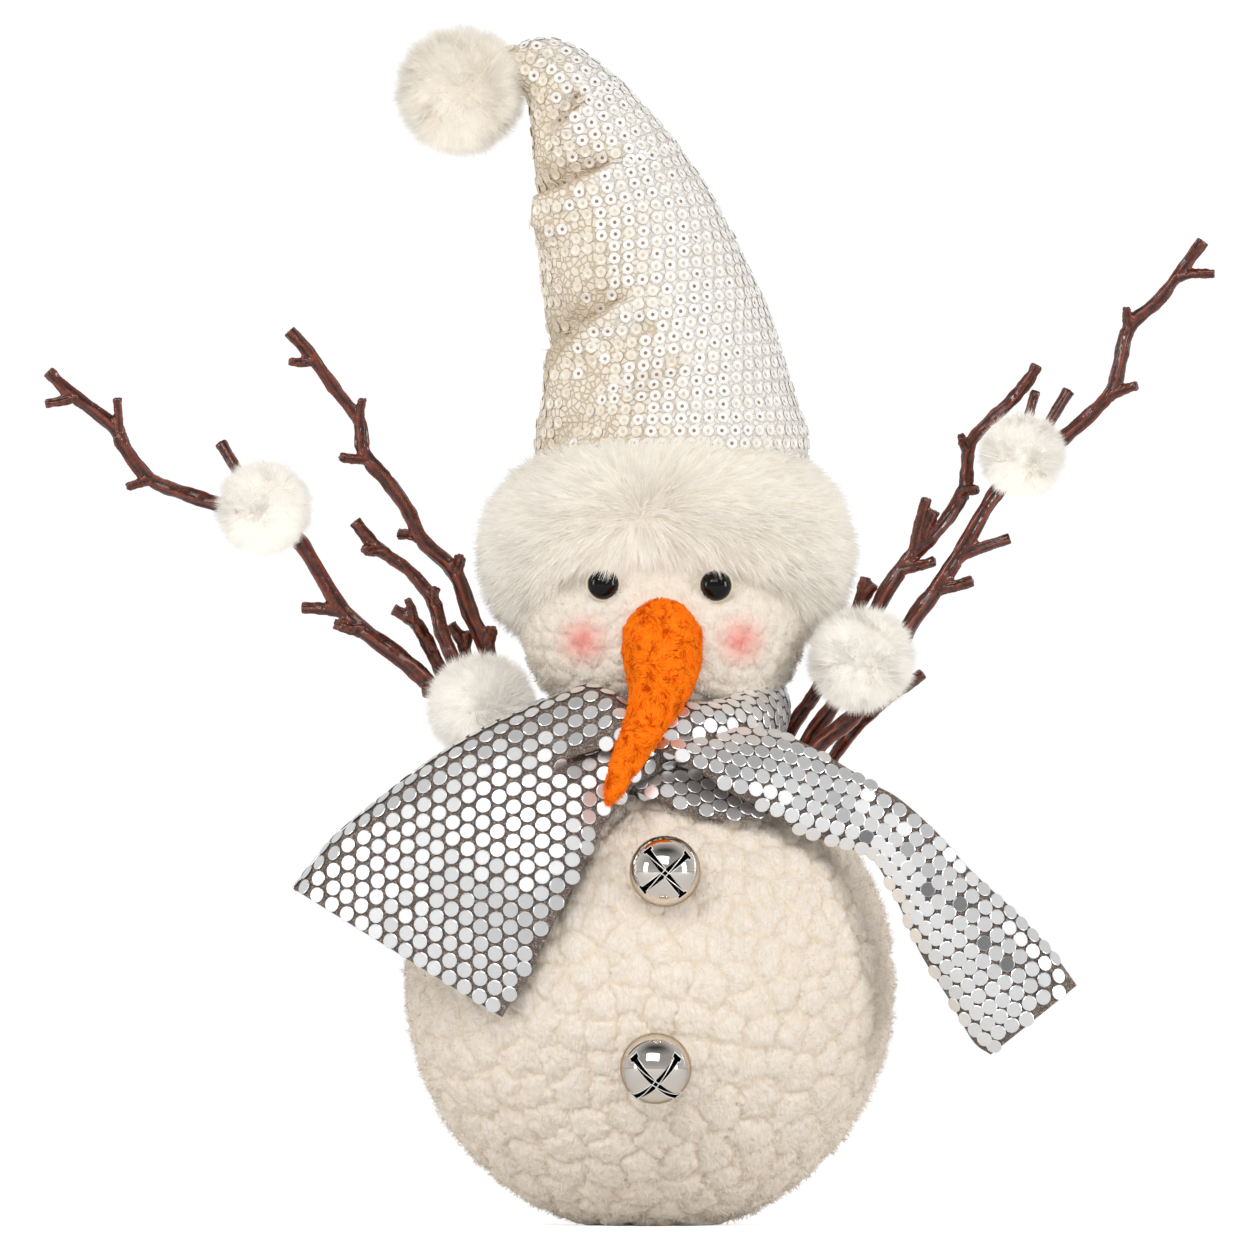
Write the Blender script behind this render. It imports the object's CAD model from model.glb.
import math

import bmesh
import bpy
import numpy as np
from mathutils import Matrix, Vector, bvhtree, kdtree


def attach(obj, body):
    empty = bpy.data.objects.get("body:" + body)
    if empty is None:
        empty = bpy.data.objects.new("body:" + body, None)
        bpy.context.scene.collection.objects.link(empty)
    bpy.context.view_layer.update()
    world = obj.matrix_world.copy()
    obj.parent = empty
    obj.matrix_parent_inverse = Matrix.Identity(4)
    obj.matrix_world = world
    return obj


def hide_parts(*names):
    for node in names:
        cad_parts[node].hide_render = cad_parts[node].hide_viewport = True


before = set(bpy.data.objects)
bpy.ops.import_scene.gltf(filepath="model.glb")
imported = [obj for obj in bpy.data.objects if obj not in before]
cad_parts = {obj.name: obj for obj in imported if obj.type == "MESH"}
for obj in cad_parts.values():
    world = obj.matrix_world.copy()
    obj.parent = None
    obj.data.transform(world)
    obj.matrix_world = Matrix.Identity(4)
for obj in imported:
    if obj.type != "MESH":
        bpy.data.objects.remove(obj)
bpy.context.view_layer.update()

mm = 0.001
golden = math.pi * (3 - math.sqrt(5))


def clearSelection():
    if bpy.context.object and bpy.context.object.mode != 'OBJECT':
        bpy.ops.object.mode_set(mode='OBJECT')
    bpy.ops.object.select_all(action='DESELECT')


def pick(piece):
    clearSelection()
    piece.select_set(True)
    bpy.context.view_layer.objects.active = piece


def settle(piece, name, look, smoothAngle=180):
    # place goes into the mesh, then name, material, shading and the body it rides on
    pick(piece)
    bpy.ops.object.transform_apply(location=True, rotation=True, scale=True)
    bpy.ops.object.shade_smooth_by_angle(angle=math.radians(smoothAngle))
    piece.name = name
    piece.data.name = name
    piece.data.materials.clear()
    piece.data.materials.append(look)
    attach(piece, "root")
    return piece


def points(piece):
    flat = np.empty(len(piece.data.vertices) * 3)
    piece.data.vertices.foreach_get('co', flat)
    return flat.reshape(-1, 3)


def setPoints(piece, places):
    piece.data.vertices.foreach_set('co', np.asarray(places, dtype=np.float32).ravel())
    piece.data.update()


def normalsOf(piece):
    flat = np.empty(len(piece.data.vertices) * 3)
    piece.data.vertices.foreach_get('normal', flat)
    return flat.reshape(-1, 3)


def store(piece, label, values):
    # one number for each vertex, for the materials
    layer = piece.data.attributes.new(label, 'FLOAT', 'POINT')
    layer.data.foreach_set('value', np.asarray(values, dtype=np.float32))


def applyModifiers(piece):
    pick(piece)
    for step in list(piece.modifiers):
        bpy.ops.object.modifier_apply(modifier=step.name)


def closeSeams(piece):
    # merges the doubles, closes the ends and turns the faces outwards
    pick(piece)
    bpy.ops.object.mode_set(mode='EDIT')
    bpy.ops.mesh.select_all(action='SELECT')
    bpy.ops.mesh.remove_doubles(threshold=0.02 * mm)
    bpy.ops.mesh.fill_holes(sides=0)
    bpy.ops.mesh.normals_make_consistent(inside=False)
    bpy.ops.object.mode_set(mode='OBJECT')


def unit(rows):
    return rows / np.maximum(np.linalg.norm(rows, axis=1, keepdims=True), 1e-12)


def smoothStep(x):
    x = np.clip(x, 0.0, 1.0)
    return x * x * (3 - 2 * x)


def throughPoints(places, count):
    # even samples of a smooth curve through hand-set points, of any number of values each
    rows = np.asarray(places, dtype=float)
    last = len(rows) - 1
    padded = np.vstack([2 * rows[0] - rows[1], rows, 2 * rows[-1] - rows[-2]])
    at = np.linspace(0, last, count)
    i = np.minimum(at.astype(int), last - 1)
    t = (at - i)[:, None]
    a, b, c, d = padded[i], padded[i + 1], padded[i + 2], padded[i + 3]
    return 0.5 * (2 * b + (c - a) * t + (2 * a - 5 * b + 4 * c - d) * t ** 2
                  + (3 * b - a - 3 * c + d) * t ** 3)


def rowAt(table, share):
    # a row of a dense table at a share from 0 to 1 of its length, mixed between its neighbours
    at = np.clip(share, 0, 1) * (len(table) - 1)
    low = np.minimum(at.astype(int), len(table) - 2)
    mix = (at - low)[:, None]
    return table[low] * (1 - mix) + table[low + 1] * mix


def evenBall(count, jitter, seed):
    # even directions on a ball, each one nudged
    rng = np.random.default_rng(seed)
    i = np.arange(count)
    z = 1 - 2 * (i + 0.5) / count
    across = np.sqrt(1 - z * z)
    ways = np.stack([across * np.cos(golden * i), across * np.sin(golden * i), z], axis=1)
    return unit(ways + rng.normal(0, jitter, (count, 3)))


def swirlField(spots, size, seed):
    # smooth directions that neighbours share, so that strands gather into locks
    rng = np.random.default_rng(seed)
    field = np.zeros_like(spots)
    for octave in range(3):
        waves = rng.normal(0, 1, (6, 3)) * (2 * math.pi / size) * (0.5 + 0.5 * octave)
        shifts = rng.random((6, 3)) * 2 * math.pi
        for wave, shift in zip(waves, shifts):
            field += np.sin((spots @ wave)[:, None] + shift) / (6 * (1 + octave) ** 0.5)
    return field


def meshFromTriangles(name, places, corners, flat=False):
    mesh = bpy.data.meshes.new(name)
    mesh.vertices.add(len(places))
    mesh.vertices.foreach_set('co', np.asarray(places, dtype=np.float32).ravel())
    mesh.loops.add(corners.size)
    mesh.loops.foreach_set('vertex_index', corners.ravel().astype(np.int32))
    mesh.polygons.add(len(corners))
    mesh.polygons.foreach_set('loop_start', np.arange(0, corners.size, 3, dtype=np.int32))
    mesh.update(calc_edges=True)
    if flat:
        mesh.shade_flat()
    piece = bpy.data.objects.new(name, mesh)
    bpy.context.scene.collection.objects.link(piece)
    return piece


def scatter(skin, count, seed, favour=None):
    # spots spread by area over a mesh, with the surface's direction at each
    skin.data.calc_loop_triangles()
    corners = np.empty(len(skin.data.loop_triangles) * 3, dtype=np.int32)
    skin.data.loop_triangles.foreach_get('vertices', corners)
    corners = corners.reshape(-1, 3)
    places, normals = points(skin), normalsOf(skin)
    a, b, c = (places[corners[:, k]] for k in range(3))
    cross = np.cross(b - a, c - a)
    weight = np.linalg.norm(cross, axis=1)
    if favour:
        weight = weight * favour((a + b + c) / 3, unit(cross))
    rng = np.random.default_rng(seed)
    picked = rng.choice(len(corners), count, p=weight / weight.sum())
    u, v = rng.random(count), rng.random(count)
    over = u + v > 1
    u[over], v[over] = 1 - u[over], 1 - v[over]
    shares = np.stack([1 - u - v, u, v], axis=1)[:, :, None]
    k = corners[picked]
    return (places[k] * shares).sum(axis=1), unit((normals[k] * shares).sum(axis=1))


def alongSkin(flow, ways):
    # the part of each direction that lies in the surface
    return flow - ways * (flow * ways).sum(axis=1, keepdims=True)


def gatherLocks(spots, ways, perLock, seed):
    # neighbouring strands share a lock: the way to its middle, how it leans and its shade
    rng = np.random.default_rng(seed)
    middles = rng.choice(len(spots), max(1, len(spots) // perLock), replace=False)
    tree = kdtree.KDTree(len(middles))
    for k, i in enumerate(middles):
        tree.insert(spots[i], k)
    tree.balance()
    owner = np.array([tree.find(spot)[1] for spot in spots])
    nudge = alongSkin(rng.normal(0, 1, (len(middles), 3))[owner], ways)
    return spots[middles][owner] - spots, nudge, rng.random(len(middles))[owner]


def strands(name, spots, ways, length, width, lean, curl, seed, look, spread=0.25, bends=2,
            lock=0, stray=0.3,
            combed=0.0):
    # tapered hairs of one or two bends, gathered into locks of about so many hairs
    rng = np.random.default_rng(seed)
    count = len(spots)
    long = (length * (0.7 + 0.45 * rng.random(count)))[:, None]
    shade, pull = rng.random(count), np.zeros((count, 3))
    if lock:
        pull, nudge, lockShade = gatherLocks(spots, ways, lock, seed + 500)
        lean = lean + nudge * stray
        shade = 0.35 * shade + 0.65 * lockShade
    facing = smoothStep((ways @ np.array([-0.15, -0.8, 0.58]) - 0.3) / 0.6)[:, None]
    lean = lean * (1 + combed * facing)          # brushed flatter at the front
    first = unit(ways + lean + rng.normal(0, spread, (count, 3)))
    # flat side outwards
    sideways = unit(np.cross(first, ways + rng.normal(0, 0.25, (count, 3)))) * width / 2
    root = spots - ways * 0.2 * mm
    if bends == 2:
        second = unit(first + curl + rng.normal(0, spread * 0.8, (count, 3)))
        middle = root + first * long * 0.5 + pull * 0.4
        tip = middle + second * long * 0.5 + pull * 0.5
        rows = [root - sideways, root + sideways, middle - sideways * 0.8, middle + sideways * 0.8, tip]
        turns, along = [[0, 1, 3], [0, 3, 2], [2, 3, 4]], [0.0, 0.0, 0.5, 0.5, 1.0]
    else:
        rows = [root - sideways, root + sideways, root + first * long + pull * 0.55]
        turns, along = [[0, 1, 2]], [0.0, 0.0, 1.0]
    base = np.arange(count)[:, None] * len(rows)
    corners = np.concatenate([base + turn for turn in turns])
    hair = meshFromTriangles(name, np.stack(rows, axis=1).reshape(-1, 3), corners)
    store(hair, 'along', np.tile(along, count))
    store(hair, 'shade', np.repeat(shade, len(rows)))
    hair.data.materials.append(look)
    hair.visible_shadow = False          # light passes between real hairs
    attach(hair, "root")
    return hair


def nearestOnLine(flatSpots, line):
    # for spots in a plane: distance from a line, signed by its side, and how far along it that is
    line = throughPoints(line, 40)
    far = np.full(len(flatSpots), 1e9)
    side, share = np.zeros(len(flatSpots)), np.zeros(len(flatSpots))
    across = np.zeros((len(flatSpots), 2))
    for k in range(len(line) - 1):
        run = line[k + 1] - line[k]
        off = flatSpots - line[k]
        t = np.clip((off @ run) / (run @ run), 0, 1)
        rest = off - t[:, None] * run
        gap = np.linalg.norm(rest, axis=1)
        left = np.array([-run[1], run[0]]) / np.linalg.norm(run)
        closer = gap < far
        far[closer] = gap[closer]
        side[closer] = (np.sign(rest @ left) * gap)[closer]
        share[closer] = (k + t[closer]) / (len(line) - 1)
        across[closer] = left
    return side, share, across


def creaseSteps(flatSpots, folds, reach):
    # how far each fold lifts or sinks a spot seen from the front, and how far its lip leans over
    lift = np.zeros(len(flatSpots))
    slide = np.zeros((len(flatSpots), 2))
    for fold in folds:
        side, share, across = nearestOnLine(flatSpots, fold['line'])
        fade = 1 - smoothStep((share - fold['fades']) / (1.001 - fold['fades']))
        fade *= smoothStep(share * 12 + fold['start'])
        q = side * (fold['proud'] or 1) / fold['wide']
        if fold['proud']:
            lip = smoothStep(q * fold['wide'] / reach + 0.5)
            shape = lip * np.exp(-q ** 2) - (1 - lip) * 0.85 * np.exp(-(q / 1.3) ** 2)
            shape -= 0.35 * np.exp(-((q * fold['wide'] + reach * 0.6) / reach) ** 2)
            lean = fold['proud'] * 0.45 * fold['deep'] * fade * lip * np.exp(-(1.4 * q) ** 2)
            slide -= across * lean[:, None]
        else:
            shape = -np.exp(-q ** 2)
        lift += fold['deep'] * fade * shape
    return lift, slide


def newLook(name, colour, roughness, **sockets):
    look = bpy.data.materials.new(name)
    look.use_nodes = True
    shader = look.node_tree.nodes['Principled BSDF']
    shader.inputs['Base Color'].default_value = (*colour, 1)
    shader.inputs['Roughness'].default_value = roughness
    for socket, value in sockets.items():
        shader.inputs[socket.replace('_', ' ')].default_value = value
    return look, look.node_tree.nodes, look.node_tree.links, shader


def addMix(nodes, links, factor, low, high):
    # a colour mix: each input is a socket, a number or a colour
    mix = nodes.new('ShaderNodeMix')
    mix.data_type = 'RGBA'
    for socket, value in ((mix.inputs[0], factor), (mix.inputs[6], low), (mix.inputs[7], high)):
        if isinstance(value, bpy.types.NodeSocket):
            links.new(value, socket)
        elif isinstance(value, (int, float)):
            socket.default_value = value
        else:
            socket.default_value = (*value, 1)
    return mix.outputs[2]


def addMath(nodes, links, operation, a, b=0.5, clamp=False):
    step = nodes.new('ShaderNodeMath')
    step.operation = operation
    step.use_clamp = clamp
    for socket, value in zip(step.inputs, (a, b)):
        if isinstance(value, bpy.types.NodeSocket):
            links.new(value, socket)
        else:
            socket.default_value = value
    return step.outputs[0]


def addRamp(nodes, links, factor, stops):
    ramp = nodes.new('ShaderNodeValToRGB')
    bar = ramp.color_ramp
    while len(bar.elements) < len(stops):
        bar.elements.new(0.5)
    for element, (place, value) in zip(bar.elements, stops):
        element.position = place
        element.color = (value, value, value, 1) if isinstance(value, (int, float)) else (*value, 1)
    links.new(factor, ramp.inputs[0])
    return ramp.outputs[0]


def addBump(nodes, links, shader, height, strength, distance):
    bump = nodes.new('ShaderNodeBump')
    bump.inputs['Strength'].default_value = strength
    bump.inputs['Distance'].default_value = distance
    links.new(height, bump.inputs['Height'])
    links.new(bump.outputs[0], shader.inputs['Normal'])


def makeFibreGroup():
    # fine crossing threads: a warped noise gives a height and a light-dark mask
    group = bpy.data.node_groups.new('wovenFibres', 'ShaderNodeTree')
    for label, kind in (('Vector', 'NodeSocketVector'), ('Size', 'NodeSocketFloat'),
                        ('Warp', 'NodeSocketFloat')):
        group.interface.new_socket(label, in_out='INPUT', socket_type=kind)
    for label in ('Height', 'Mask'):
        group.interface.new_socket(label, in_out='OUTPUT', socket_type='NodeSocketFloat')
    nodes, links = group.nodes, group.links
    into, out = nodes.new('NodeGroupInput'), nodes.new('NodeGroupOutput')
    fine = nodes.new('ShaderNodeTexNoise')
    fine.inputs['Detail'].default_value = 3
    links.new(into.outputs['Vector'], fine.inputs['Vector'])
    links.new(into.outputs['Size'], fine.inputs['Scale'])
    links.new(into.outputs['Warp'], fine.inputs['Distortion'])
    ridge = addMath(nodes, links, 'SUBTRACT', fine.outputs['Fac'], 0.5)
    ridge = addMath(nodes, links, 'ABSOLUTE', ridge)
    ridge = addMath(nodes, links, 'MULTIPLY', ridge, 5.0, clamp=True)
    links.new(ridge, out.inputs['Height'])
    broad = nodes.new('ShaderNodeTexNoise')
    links.new(into.outputs['Vector'], broad.inputs['Vector'])
    broadSize = addMath(nodes, links, 'MULTIPLY', into.outputs['Size'], 0.12)
    links.new(broadSize, broad.inputs['Scale'])
    links.new(broad.outputs['Fac'], out.inputs['Mask'])
    return group


fibreGroup = makeFibreGroup()


def addFibres(nodes, links, size, warp, stretch=(1, 1, 1)):
    where = nodes.new('ShaderNodeTexCoord')
    turn = nodes.new('ShaderNodeMapping')
    turn.inputs['Scale'].default_value = stretch
    links.new(where.outputs['Object'], turn.inputs['Vector'])
    fibres = nodes.new('ShaderNodeGroup')
    fibres.node_tree = fibreGroup
    fibres.inputs['Size'].default_value = size
    fibres.inputs['Warp'].default_value = warp
    links.new(turn.outputs[0], fibres.inputs['Vector'])
    return fibres.outputs['Height'], fibres.outputs['Mask']


def addReading(nodes, label):
    reading = nodes.new('ShaderNodeAttribute')
    reading.attribute_name = label
    return reading.outputs['Fac']


studio = {
    'aimX': -7.7 * mm,
    'aimZ': 199.3 * mm,
    'frameWidth': 418 * mm,      # what the frame takes in at the snowman
    'lens': 900,
    'skyStops': [(0.0, 0.54), (0.14, 0.43), (0.42, 0.35), (0.66, 0.36), (0.82, 0.22), (0.94, 0.06)],
    'backGlow': 1.05,
    'lamps': {
        'windowFront': ((-0.35, -1.9, 1.55), (1.7, 1.1), 18.5),
        'catchLight': ((-0.9, -1.7, 1.15), (0.28, 0.28), 3.5),
        'windowLeft': ((-2.2, -1.0, 0.6), (0.6, 1.0), 11),
        'windowRight': ((2.1, -1.0, 0.55), (0.6, 1.0), 16.5),
    },
}


def makeCamera():
    data = bpy.data.cameras.new('studioCamera')
    data.lens = studio['lens']
    data.sensor_width = 36
    data.clip_end = 60
    far = studio['frameWidth'] * studio['lens'] / 36
    camera = bpy.data.objects.new('studioCamera', data)
    camera.location = (studio['aimX'], -far, studio['aimZ'])
    camera.rotation_euler = (math.radians(90), 0, 0)
    bpy.context.scene.collection.objects.link(camera)
    bpy.context.scene.camera = camera


def makeFloor():
    clearSelection()
    bpy.ops.mesh.primitive_circle_add(vertices=64, radius=30, fill_type='NGON', location=(0, 0, 0))
    floor = bpy.context.object
    bpy.ops.object.mode_set(mode='EDIT')
    bpy.ops.mesh.select_all(action='SELECT')
    bpy.ops.mesh.inset(thickness=28.5, depth=0)
    bpy.ops.object.mode_set(mode='OBJECT')
    floor.name = 'studioFloor'
    look, nodes, links, shader = newLook('palePaper', (0.90, 0.90, 0.90), 0.95)
    seen = nodes.new('ShaderNodeLightPath')
    glow = addMath(nodes, links, 'MULTIPLY', seen.outputs['Is Camera Ray'], 0.62)
    shader.inputs['Emission Color'].default_value = (1, 1, 1, 1)
    links.new(glow, shader.inputs['Emission Strength'])
    floor.data.materials.append(look)


def areaLight(name, place, size, power):
    data = bpy.data.lights.new(name, 'AREA')
    data.shape = 'RECTANGLE'
    data.size, data.size_y = size
    data.energy = power
    lamp = bpy.data.objects.new(name, data)
    lamp.location = place
    lamp.rotation_euler = (Vector((0, 0, 0.2)) - Vector(place)).to_track_quat('-Z', 'Y').to_euler()
    bpy.context.scene.collection.objects.link(lamp)


def makeLight():
    # the room is soft grey in front, darker overhead and white behind; the paper backdrop is plain white
    world = bpy.data.worlds.new('softRoom')
    bpy.context.scene.world = world
    world.use_nodes = True
    nodes, links = world.node_tree.nodes, world.node_tree.links
    room = nodes['Background']
    where = nodes.new('ShaderNodeTexCoord')
    split = nodes.new('ShaderNodeSeparateXYZ')
    links.new(where.outputs['Generated'], split.inputs[0])
    sky = addRamp(nodes, links, split.outputs['Z'], studio['skyStops'])
    behind = addMath(nodes, links, 'ADD', split.outputs['Y'], 0.25)
    behind = addMath(nodes, links, 'MULTIPLY', behind, 1.6, clamp=True)
    sky = addMix(nodes, links, behind, sky, (0.62, 0.62, 0.62))
    seen = nodes.new('ShaderNodeLightPath')
    colour = addMix(nodes, links, seen.outputs['Is Camera Ray'], sky, (studio['backGlow'],) * 3)
    links.new(colour, room.inputs['Color'])
    for name, (place, size, power) in studio['lamps'].items():
        areaLight(name, place, size, power)
    bpy.context.scene.view_settings.view_transform = 'Standard'


makeCamera()
makeFloor()
makeLight()
print('studio ready')


def makePileLook(name, tip, root, vary=0.10, gloss=0.2, dark=None):
    # strands: warmer and darker at the root, a little different from one to the next
    look, nodes, links, shader = newLook(name, tip, 0.8, Specular_IOR_Level=gloss)
    shade = addReading(nodes, 'shade')
    along = addRamp(nodes, links, addReading(nodes, 'along'), [(0.0, 0.0), (0.7, 1.0)])
    colour = addMix(nodes, links, along, root, tip)
    darker = addMath(nodes, links, 'MULTIPLY', shade, vary)
    colour = addMix(nodes, links, darker, colour, dark or tuple(c * 0.70 for c in root))
    links.new(colour, shader.inputs['Base Color'])
    return look


furLook = makePileLook('whiteFur', (0.965, 0.93, 0.865), (0.84, 0.77, 0.665), 0.50)
snowLook = makePileLook('snowFur', (1.0, 0.975, 0.93), (0.95, 0.91, 0.85), 0.35)
bobbleLook = makePileLook('creamLoops', (0.96, 0.89, 0.80), (0.88, 0.78, 0.65), 0.50)


def makeSkinLook(name, high, low):
    # the cloth under the pile: tan in the creases between the bobbles, fine creases between the tufts
    look, nodes, links, shader = newLook(name, high, 0.9, Specular_IOR_Level=0.2)
    height = addFibres(nodes, links, 800, 1.8)[0]
    where = nodes.new('ShaderNodeTexCoord')
    warp = nodes.new('ShaderNodeTexNoise')
    warp.inputs['Scale'].default_value = 220
    links.new(where.outputs['Object'], warp.inputs['Vector'])
    shift = nodes.new('ShaderNodeVectorMath')
    shift.operation = 'MULTIPLY_ADD'
    shift.inputs[1].default_value = (0.0035,) * 3
    links.new(warp.outputs['Color'], shift.inputs[0])
    links.new(where.outputs['Object'], shift.inputs[2])
    tufts = nodes.new('ShaderNodeTexVoronoi')
    tufts.feature = 'DISTANCE_TO_EDGE'
    tufts.inputs['Scale'].default_value = 240
    links.new(shift.outputs[0], tufts.inputs['Vector'])
    crease = addRamp(nodes, links, tufts.outputs['Distance'], [(0.0, 0.0), (0.13, 1.0)])
    soft = addRamp(nodes, links, tufts.outputs['Distance'], [(0.0, 0.0), (0.5, 1.0)])
    depth = addRamp(nodes, links, addReading(nodes, 'rise'), [(0.0, 0.0), (0.45, 0.8), (1.0, 1.0)])
    both = addMath(nodes, links, 'MULTIPLY', depth, addRamp(nodes, links, crease, [(0.0, 0.62), (1.0, 1.0)]))
    colour = addMix(nodes, links, both, low, high)
    curls = nodes.new('ShaderNodeTexWave')
    for label, value in (('Scale', 170), ('Distortion', 14), ('Detail', 1.5), ('Detail Scale', 0.9)):
        curls.inputs[label].default_value = value
    links.new(where.outputs['Object'], curls.inputs['Vector'])
    curl = addRamp(nodes, links, curls.outputs['Fac'], [(0.0, 0.30), (0.35, 0.0)])
    colour = addMix(nodes, links, curl, colour, low)
    light = addMath(nodes, links, 'MULTIPLY', height, 0.12)
    colour = addMix(nodes, links, light, colour, tuple(min(1, c * 1.06) for c in high))
    links.new(colour, shader.inputs['Base Color'])
    relief = addMix(nodes, links, 0.40, soft, curls.outputs['Fac'])
    addBump(nodes, links, shader, addMix(nodes, links, 0.20, relief, height), 0.5, 0.8 * mm)
    return look


bobbleSkinLook = makeSkinLook('creamBackCloth', (0.95, 0.875, 0.785), (0.83, 0.69, 0.52))
furSkinLook = makeSkinLook('whiteBackCloth', (0.90, 0.84, 0.76), (0.82, 0.75, 0.65))

body = {
    'half': Vector((81.9, 78.0, 84.0)) * mm,
    'middle': Vector((0, 0, 80)) * mm,
    'bobbleLow': 12.5 * mm,      # spacing of the bobbles near the floor and near the neck
    'bobbleHigh': 8.0 * mm,
    'deep': 1.25 * mm,           # the creases between them
    'tuft': 4.0 * mm,
    'tuftDeep': 0.5 * mm,
    'density': 8,
    'keep': 0.6,                 # share of the faces kept once it is swollen
    'pile': 1.0 * mm,
    'strandCount': 60000,
}
head = {
    'half': Vector((47.7, 45.0, 40.3)) * mm,
    'middle': Vector((4.3, 0, 200)) * mm,
    'bobbleLow': 6.6 * mm,
    'bobbleHigh': 6.2 * mm,
    'deep': 0.9 * mm,
    'tuft': 2.6 * mm,
    'tuftDeep': 0.3 * mm,
    'density': 7,
    'keep': 1,
    'pile': 0.8 * mm,
    'strandCount': 40000,
}
bells = {
    'upper': {'middle': Vector((4.9, -77.5, 118.5)) * mm, 'tilt': 3, 'roll': 7, 'reach': 9.3 * mm},
    'lower': {'middle': Vector((1.8, -81.5, 53.3)) * mm, 'tilt': 26, 'roll': 0, 'reach': 10.0 * mm},
}
bellRadius = 11.8 * mm


def bobbleSize(settings, z):
    low = settings['middle'].z - settings['half'].z
    share = smoothStep((z - low) / (2 * settings['half'].z))
    return settings['bobbleLow'] + (settings['bobbleHigh'] - settings['bobbleLow']) * share


def looseSeeds(settings, seed):
    # spots on an egg shape, no two closer together than the bobbles there are wide
    rng = np.random.default_rng(seed)
    half, middle = np.array(settings['half']), np.array(settings['middle'])
    spots = unit(rng.normal(0, 1, (16000, 3))) * half
    gaps = bobbleSize(settings, spots[:, 2] + middle[2]) * 0.86
    kept, count = np.zeros((4000, 3)), 0
    for spot, gap in zip(spots, gaps):
        if count == 0 or ((kept[:count] - spot) ** 2).sum(axis=1).min() > gap * gap:
            kept[count] = spot
            count += 1
    return kept[:count]


def cellField(probe, seeds):
    # how far each spot is from its nearest seed, and from the border with the next one
    tree = kdtree.KDTree(len(seeds))
    for i, spot in enumerate(seeds):
        tree.insert(spot, i)
    tree.balance()
    near = np.array([[found[2] for found in tree.find_n(place, 2)] for place in probe])
    return near[:, 0], (near[:, 1] - near[:, 0]) / 2


def bobbleBall(settings, seed):
    # a fine ball swollen into soft bobbles, each of smaller tufts, the tops at the real size
    clearSelection()
    bpy.ops.mesh.primitive_ico_sphere_add(subdivisions=settings['density'], radius=1)
    ball = bpy.context.object
    half, middle = np.array(settings['half']) - settings['pile'] * 0.5, np.array(settings['middle'])
    ways = unit(points(ball))
    seeds = looseSeeds(settings, seed)
    surface = ways * half
    local = bobbleSize(settings, surface[:, 2] + middle[2])
    warp = swirlField(surface, 8 * mm, seed + 3) * local[:, None] * 0.16
    far, edge = cellField(surface + warp, seeds)
    crease = np.exp(-edge / (local * 0.11))
    bulge = 1 - (far / (local * 0.62)) ** 2
    area = 4 * math.pi * half[0] * half[2]
    tufts = evenBall(int(area / (settings['tuft'] ** 2 * 0.866)), 0.35 * settings['tuft'] / half[0],
                     seed + 5) * half
    warp = swirlField(surface, 5 * mm, seed + 4) * settings['tuft'] * 0.25
    tuftEdge = cellField(surface + warp, tufts)[1]
    tuftCrease = np.exp(-tuftEdge / (settings['tuft'] * 0.14))
    lift = settings['deep'] * (0.45 * bulge - 0.30 - crease) - settings['tuftDeep'] * tuftCrease
    lift += swirlField(surface, 30 * mm, seed + 6)[:, 0] * settings['deep'] * 0.25
    setPoints(ball, surface + unit(ways / half) * np.minimum(lift, 0.4 * mm)[:, None] + middle)
    store(ball, 'rise', np.clip(1 - 0.9 * np.exp(-edge / (local * 0.055)) - 0.22 * tuftCrease, 0, 1))
    if settings['keep'] < 1:
        ball.modifiers.new('thin', 'DECIMATE').ratio = settings['keep']
        applyModifiers(ball)
    return ball


def pressBack(places, middle, radius):
    # cloth pushed away by something round that sits in it
    away = places - np.array(middle)
    gap = np.linalg.norm(away, axis=1, keepdims=True)
    return np.where(gap < radius, np.array(middle) + away / gap * radius, places)


def loopPile(name, skin, settings, seed, look):
    # short fine strands that swirl round the tufts and lie close to them
    spots, ways = scatter(skin, settings['strandCount'], seed)
    keep = spots[:, 2] > 1.5 * mm
    spots, ways = spots[keep], ways[keep]
    swirl = alongSkin(swirlField(spots, settings['tuft'] * 2.2, seed), ways)
    lean = swirl * 2.2
    curl = np.cross(ways, lean) * 0.5 - ways * 0.8
    return strands(name, spots, ways, settings['pile'] * 4.2, 0.20 * mm, lean, curl, seed, look, 0.3,
                   lock=5, stray=0.6)


def makeBody():
    skin = bobbleBall(body, 21)
    places = points(skin)
    for bell in bells.values():
        places = pressBack(places, bell['middle'], bellRadius + 0.3 * mm)
    places[:, 2] = np.maximum(places[:, 2], 0.0)
    setPoints(skin, places)
    settle(skin, 'bodyCloth', bobbleSkinLook)
    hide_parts('body')
    loopPile('bodyPile', skin, body, 31, bobbleLook)
    print('body made')


face = {
    'cheeks': [(-22.5 * mm, 194.6 * mm), (30.5 * mm, 194.6 * mm)],
    'cheekSize': 11 * mm,
    'blush': (0.92, 0.30, 0.25),
}


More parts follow.
